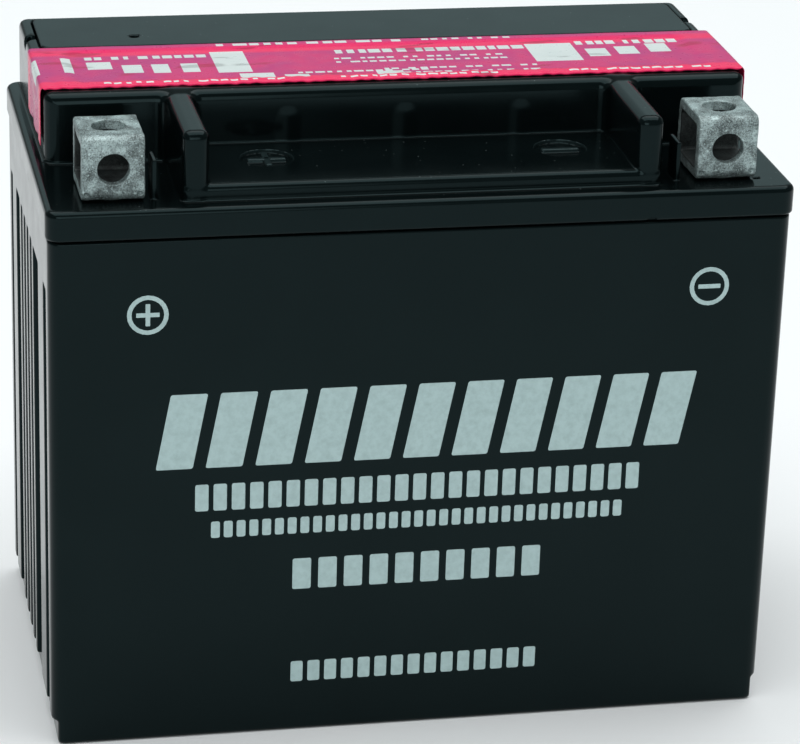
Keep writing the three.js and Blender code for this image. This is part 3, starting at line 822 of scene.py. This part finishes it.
def make_vent_cover():
    xs = grid_lines(COVER_LOW[0] - 0.9, COVER_HIGH[0] + 0.9, 0.6, mirrored([(66.5, 70.6, 0.25)]))
    ys = grid_lines(COVER_LOW[1] - 0.9, COVER_HIGH[1] + 0.9, 0.4)
    zs = grid_lines(COVER_LOW[2] - 0.9, COVER_HIGH[2] + 0.9, 0.5, [(126.8, 130.3, 0.2)])
    field = Field(xs, ys, zs)
    plate_low = (COVER_LOW[0], COVER_LOW[1], DECK_Z - 2)
    field.join(slab(plate_low, COVER_HIGH, 2.5, top=0.35, bottom=0.2))
    for x in CELL_XS:
        field.join(rod(2, 3.0, (x, VALVE_Y), COVER_LOW[2], DECK_Z - 1, 0.2), 0.3)
    field.cut(rod(2, DIMPLE_RADIUS, DIMPLE, DECK_Z - 1.5, DECK_Z + 2), 0.15)
    moulding("cover_plate", field, COVER_PLASTIC, ["vent_cover"])


# Foil seal ----------------------------------------------------------------------------

SEAL_STEP = 0.5
SEAL_FRONT = -10.0       # where the foil's front edge turns down
SEAL_TURN = 0.8          # radius of the fold over each end of the deck
SEAL_EDGE = SEAL_HIGH[0] - 0.15 - SEAL_TURN      # where that fold starts
FLAP_LENGTH = 11.2
FOIL_THICKNESS = 0.12
# Centre X and Y, direction in degrees, length, half width and height of the sharper creases.
CREASES = [(12, 3.5, 60, 9, 0.9, 0.30), (23.5, 2.5, 75, 6, 0.7, 0.28), (36, 1.5, 40, 12, 1.1, 0.34),
           (39, -2.5, 110, 8, 0.8, 0.26), (-58, 2, 20, 14, 1.0, 0.24), (-33, -1, 155, 11, 0.8, 0.22),
           (58, 4, 30, 16, 1.0, 0.22), (2, -5, 10, 20, 0.9, 0.18), (-12, 9, 170, 26, 1.2, 0.22)]


def crease_height(x, y):
    total = np.zeros(np.broadcast(x, y).shape)
    for cx, cy, turn, length, half_width, height in CREASES:
        c, s = math.cos(math.radians(turn)), math.sin(math.radians(turn))
        along = (x - cx) * c + (y - cy) * s
        off = (y - cy) * c - (x - cx) * s
        hollow = 0.7 * np.exp(-((off - half_width) / half_width) ** 2)
        ridge = np.maximum(1 - np.abs(off) / half_width, 0) - hollow
        total = total + height * ridge * np.clip(1 - np.abs(along) / length * 2, 0, 1) ** 0.5
    return total


def foil_height(x, y):
    """Height of the foil above the deck: it lies on the rim of the trough and sags between."""
    in_trough = np.clip((66 - np.abs(x)) / 3, 0, 1)
    in_trough = in_trough * np.clip((y + 8) / 2.5, 0, 1) * np.clip((14.5 - y) / 2.5, 0, 1)
    sag = -0.55 * in_trough
    waves = 0.10 * ripple(x, y, 0, 16, 5) + 0.05 * ripple(x, y, 0, 5, 6)
    lift = np.where(y < SEAL_FRONT + 4, 0.06 * np.sin(x * 2.1) + 0.05 * np.sin(x * 0.83 + 1), 0)
    creases = crease_height(x, y) * (0.3 + 0.7 * in_trough)
    return 0.42 + sag + (0.25 + 0.75 * in_trough) * waves + creases + lift


def foil_point(u, v):
    """Where the flat sheet's point (u, v) lies: across the deck, round its ends and down the flaps."""
    over = np.abs(u) - SEAL_EDGE
    side = np.sign(u)
    height = np.clip(foil_height(np.clip(u, -SEAL_EDGE, SEAL_EDGE), v), 0.1, 0.58)
    arc = math.pi / 2 * SEAL_TURN
    angle = np.clip(over / SEAL_TURN, 0, math.pi / 2)
    down = np.maximum(over - arc, 0)
    flutter = 0.22 * np.sin(v * 0.55 + 1.0) * np.clip(down / 6, 0, 1)
    bulge = np.where(u < 0, 0.5, 0.15) * np.clip((-4 - v) / 5, 0, 1) * np.clip(down / 3, 0, 1)
    round_end = SEAL_EDGE + SEAL_TURN * np.sin(angle)
    x = np.where(over < 0, np.abs(u), round_end) + np.minimum(flutter + bulge, 0.1)
    z = np.where(over < 0, DECK_Z + height, DECK_Z + height - SEAL_TURN * (1 - np.cos(angle)) - down)
    return side * x, v, z


# White shapes on the foil as (left, right, front, rear), and rows of short dashes as
# (left, right, front, height, dash): plain stand-ins for the lettering of a real seal.
FOIL_BLOCKS = [(-67, -65, -1, 9), (-62, -57, 1.5, 6.5), (-55, -51, -1.5, 4), (-49, -45.5, -2, 4),
               (-43, -39.5, -2, 4), (-36, -29, -3, 11.5), (-32, -25, -8, -4), (-23, -18, -8, -5.5),
               (-4, 2, -8, -5), (31, 41, -1.5, 11), (43, 47.5, 1, 6.5), (49.5, 54, 2, 7.5),
               (56.5, 61, 3, 9), (-75, -72, -2, 8)]
FOIL_ROWS = [(-62, -38, 8.0, 2.2, 1.9), (-60, -24, -9.6, 0.9, 1.6), (-34, 4, 14.6, 1.5, 2.6),
             (-10, 30, 7.8, 2.7, 2.2), (-11, 25, 3.9, 1.2, 1.5), (-11, 24, 1.4, 1.2, 1.5),
             (-20, 8, -5.2, 1.2, 1.5), (-2, 31, -4.2, 1.3, 1.7), (0, 29, -7.0, 1.2, 1.6),
             (-12, 20, -9.6, 0.9, 1.6), (42, 64, 9.6, 2.2, 1.9), (36, 66, -9.6, 0.9, 2.0),
             (10, 28, 14.9, 1.1, 1.6)]


def foil_print(u, v):
    """True where the sheet carries white ink."""
    rng = np.random.default_rng(11)
    inked = np.zeros(np.broadcast(u, v).shape, bool)
    for left, right, front, rear in FOIL_BLOCKS:
        inked |= (u > left) & (u < right) & (v > front) & (v < rear)
    for left, right, front, height, dash in FOIL_ROWS:
        here = left
        while here < right:
            length = rng.uniform(0.7, 1.1) * dash
            inked |= (u > here) & (u < here + length) & (v > front) & (v < front + height)
            here += length + (2.0 if rng.random() < 0.15 else 0.65)
    return inked


def make_seal():
    flat_half = SEAL_EDGE + math.pi / 2 * SEAL_TURN + FLAP_LENGTH
    us = np.linspace(-flat_half, flat_half, round(2 * flat_half / SEAL_STEP) + 1)
    vs = np.arange(SEAL_FRONT, SEAL_HIGH[1] + 0.01, SEAL_STEP)
    u, v = np.meshgrid(us, vs, indexing="ij")
    x, y, z = foil_point(u, v)
    skirt_rows = [(0.25, 0.12), (0.42, 0.34), (0.5, 0.58)]
    rows = [np.stack([x[:, j], y[:, j], z[:, j]], 1) for j in range(len(vs))]
    crimp = 0.10 * np.sin(us * 2.6) + 0.06 * np.sin(us * 5.3 + 2)
    first = rows[0]
    for out, down in skirt_rows:
        edge = first.copy()
        edge[:, 1] -= out + crimp * down
        on_top = np.abs(us) < SEAL_HIGH[0] - 1
        edge[:, 2] -= np.where(on_top, down * 0.85, 0)
        rows.insert(0, edge)
    points = np.concatenate(rows)
    columns = len(us)
    middle_v = np.concatenate([np.full(len(skirt_rows), SEAL_FRONT - 0.3), vs])
    faces, inks = [], []
    for j in range(len(rows) - 1):
        v_here = (middle_v[j] + middle_v[j + 1]) / 2
        inked = foil_print((us[:-1] + us[1:]) / 2, v_here)
        for i in range(columns - 1):
            a = j * columns + i
            faces.append((a, a + 1, a + columns + 1, a + columns))
            inks.append(bool(inked[i]))
    seal = add_mesh("foil_seal", points, faces, [FOIL, FOIL_INK], "seal")
    for polygon, inked in zip(seal.data.polygons, inks):
        polygon.material_index = int(inked)
        polygon.use_smooth = True
    solid = seal.modifiers.new("foil thickness", "SOLIDIFY")
    solid.thickness = FOIL_THICKNESS * MM
    solid.offset = -1
    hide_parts("seal_strip")


# Printing on the front ----------------------------------------------------------------

PRINT_THICKNESS = 0.04
PRINT_Y = CASE_LOW[1]


def add_print(name, outlines):
    """Thin printed shapes on the front face. Each outline is a list of (x, z) points, anticlockwise."""
    points, faces = [], []
    for outline in outlines:
        base, n = len(points), len(outline)
        for depth in (0.01, -PRINT_THICKNESS):
            points += [(x, PRINT_Y + depth, z) for x, z in outline]
        faces.append([base + n + i for i in range(n)])
        for i in range(n):
            j = (i + 1) % n
            faces.append([base + i, base + j, base + n + j, base + n + i])
        faces.append([base + i for i in reversed(range(n))])
    add_mesh(name, points, faces, [INK])


def bar(x0, x1, z0, z1, slant=0.0, round_by=0.4):
    """A printed bar with rounded corners, leaning by slant millimetres from bottom to top."""
    r = min(round_by, (x1 - x0) / 2, (z1 - z0) / 2)
    centres = [(x1 - r, z0 + r, -90), (x1 - r, z1 - r, 0), (x0 + r, z1 - r, 90), (x0 + r, z0 + r, 180)]
    outline = []
    for cx, cz, start in centres:
        for turn in (0, 30, 60, 90):
            angle = math.radians(start + turn)
            z = cz + r * math.sin(angle)
            outline.append((cx + r * math.cos(angle) + slant * (z - z0) / (z1 - z0), z))
    return outline


def ring(x, z, outer, inner, parts=24):
    """A ring as short four-sided pieces, laid end to end."""
    pieces = []
    for i in range(parts):
        first, last = i * 2 * math.pi / parts, (i + 1) * 2 * math.pi / parts
        corners = [(inner, first), (outer, first), (outer, last), (inner, last)]
        pieces.append([(x + r * math.cos(a), z + r * math.sin(a)) for r, a in corners])
    return pieces


def striped_row(half_x, low, high, stripe, gap, slant):
    """A row of equal upright bars, as a plain stand-in for a line of lettering."""
    count = int((2 * half_x + gap) / (stripe + gap))
    start = -(count * (stripe + gap) - gap) / 2
    return [bar(start + i * (stripe + gap), start + i * (stripe + gap) + stripe, low, high, slant)
            for i in range(count)]


def make_front_print():
    for x, z, name in ((-55.3, 93.1, "plus"), (58.1, 94.2, "minus")):
        outlines = ring(x, z, 4.1, 3.2) + [bar(x - 2.3, x + 2.3, z - 0.45, z + 0.45, round_by=0.1)]
        if name == "plus":
            outlines += [bar(x - 0.45, x + 0.45, z + 0.45, z + 2.3, round_by=0.1),
                         bar(x - 0.45, x + 0.45, z - 2.3, z - 0.45, round_by=0.1)]
        add_print(f"printed_{name}", outlines)
    # Half length, lower and upper edge, bar width, gap and slant.
    rows = [(54.5, 60, 76, 7.4, 2.6, 3.0), (47.5, 50.6, 56.4, 2.7, 1.0, 0), (43, 44.6, 48.2, 1.8, 0.8, 0),
            (27, 32.2, 39.0, 3.8, 1.5, 0), (26.5, 11.2, 15.8, 2.5, 1.0, 0)]
    for i, (half_x, low, high, stripe, gap, slant) in enumerate(rows):
        add_print(f"printed_row_{i + 1}", striped_row(half_x, low, high, stripe, gap, slant))


# Pieces inside ------------------------------------------------------------------------


def dress_inner_pieces():
    finishes = {
        "positive_plates": inner_material(
            "positive_paste", (0.035, 0.016, 0.008), (0.085, 0.04, 0.02), 0.5, 0.8, 0.5),
        "negative_plates": inner_material(
            "negative_paste", (0.12, 0.13, 0.135), (0.22, 0.23, 0.235), 0.5, 0.7, 0.5),
        "separator_pack": inner_material(
            "glass_mat", (0.66, 0.66, 0.63), (0.86, 0.86, 0.83), 1.2, 0.8, 0.8, stretch=(1, 1, 0.2)),
        "connector": inner_material(
            "cast_lead", (0.16, 0.17, 0.18), (0.34, 0.35, 0.36), 0.4, 0.45, 0.4, metallic=0.7),
        "valve_cap": inner_material(
            "valve_rubber", (0.008, 0.008, 0.008), (0.02, 0.02, 0.02), 0.4, 0.6, 0.2),
        "arrestor": inner_material(
            "porous_plug", (0.55, 0.52, 0.45), (0.8, 0.77, 0.7), 2.0, 0.85, 0.9),
    }
    finishes["post"] = finishes["connector"]
    for name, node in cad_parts.items():
        for word, material in finishes.items():
            if word in name and not node.hide_render:
                node.data.materials.clear()
                node.data.materials.append(material)


# Studio -------------------------------------------------------------------------------


def make_floor():
    mesh = bpy.data.meshes.new("floor")
    mesh.from_pydata([(-6, -6, 0), (6, -6, 0), (6, 6, 0), (-6, 6, 0)], [], [(0, 1, 2, 3)])
    nodes = Nodes("floor_paper")
    fibres = nodes.noise(220, detail=5)
    mesh.materials.append(nodes.finish((0.86, 0.87, 0.88), 0.9, nodes.bump(fibres, 0.05, 0.1)))
    nodes.shader.inputs["Specular IOR Level"].default_value = 0.1
    floor = bpy.data.objects.new("floor", mesh)
    bpy.context.scene.collection.objects.link(floor)


def area_light(name, place, aim, size, power, colour=(1, 1, 1)):
    light = bpy.data.lights.new(name, "AREA")
    light.shape = "RECTANGLE"
    light.size, light.size_y = size
    light.energy = power
    light.color = colour
    lamp = bpy.data.objects.new(name, light)
    lamp.location = place
    lamp.rotation_euler = (Vector(aim) - Vector(place)).to_track_quat("-Z", "Y").to_euler()
    bpy.context.scene.collection.objects.link(lamp)


def make_world(colour, strength):
    world = bpy.data.worlds.new("studio")
    world.use_nodes = True
    background = world.node_tree.nodes["Background"]
    background.inputs["Color"].default_value = (*colour, 1)
    background.inputs["Strength"].default_value = strength
    bpy.context.scene.world = world


CAMERA_LENS = 152.085      # on a sensor 36 mm wide
CAMERA_AZIMUTH = math.radians(11.898)      # towards -X
CAMERA_ELEVATION = math.radians(21.939)
CAMERA_ROLL = math.radians(1.838)
CAMERA_DISTANCE = 717.9
CAMERA_AIM = Vector((0, 0, 65))
CAMERA_ASIDE = (4.17, -3.425)     # of the aim, to the camera's right and up


def make_camera():
    az, el = CAMERA_AZIMUTH, CAMERA_ELEVATION
    back = Vector((-math.sin(az) * math.cos(el), -math.cos(az) * math.cos(el), math.sin(el)))
    right = Vector((math.cos(az), -math.sin(az), 0))
    up = back.cross(right)
    rolled_right = right * math.cos(CAMERA_ROLL) + up * math.sin(CAMERA_ROLL)
    rolled_up = up * math.cos(CAMERA_ROLL) - right * math.sin(CAMERA_ROLL)
    place = CAMERA_AIM + right * CAMERA_ASIDE[0] + up * CAMERA_ASIDE[1] + back * CAMERA_DISTANCE
    data = bpy.data.cameras.new("camera")
    data.sensor_width = 36
    data.lens = CAMERA_LENS
    camera = bpy.data.objects.new("camera", data)
    turn = Matrix((rolled_right, rolled_up, back)).transposed()
    camera.matrix_world = Matrix.Translation(place * MM) @ turn.to_4x4()
    bpy.context.scene.collection.objects.link(camera)
    bpy.context.scene.camera = camera


make_camera()
make_lid()
make_case()
make_terminal("positive_terminal", 21)
make_terminal("negative_terminal", 47)
make_vent_cover()
make_seal()
make_front_print()
dress_inner_pieces()
make_floor()
area_light("top_softbox", (0.0, 0.15, 1.6), (0, 0.1, 0), (2.5, 2.0), 38)
area_light("rear_softbox", (0.0, 1.7, 0.75), (0, 0, 0.12), (2.6, 0.6), 1.7, (0.62, 0.96, 1.0))
area_light("front_softbox", (-0.35, -1.5, 0.55), (0, 0, 0.08), (1.2, 0.7), 6.0)
make_world((0.82, 0.97, 0.97), 0.22)
bpy.context.scene.view_settings.view_transform = "Standard"
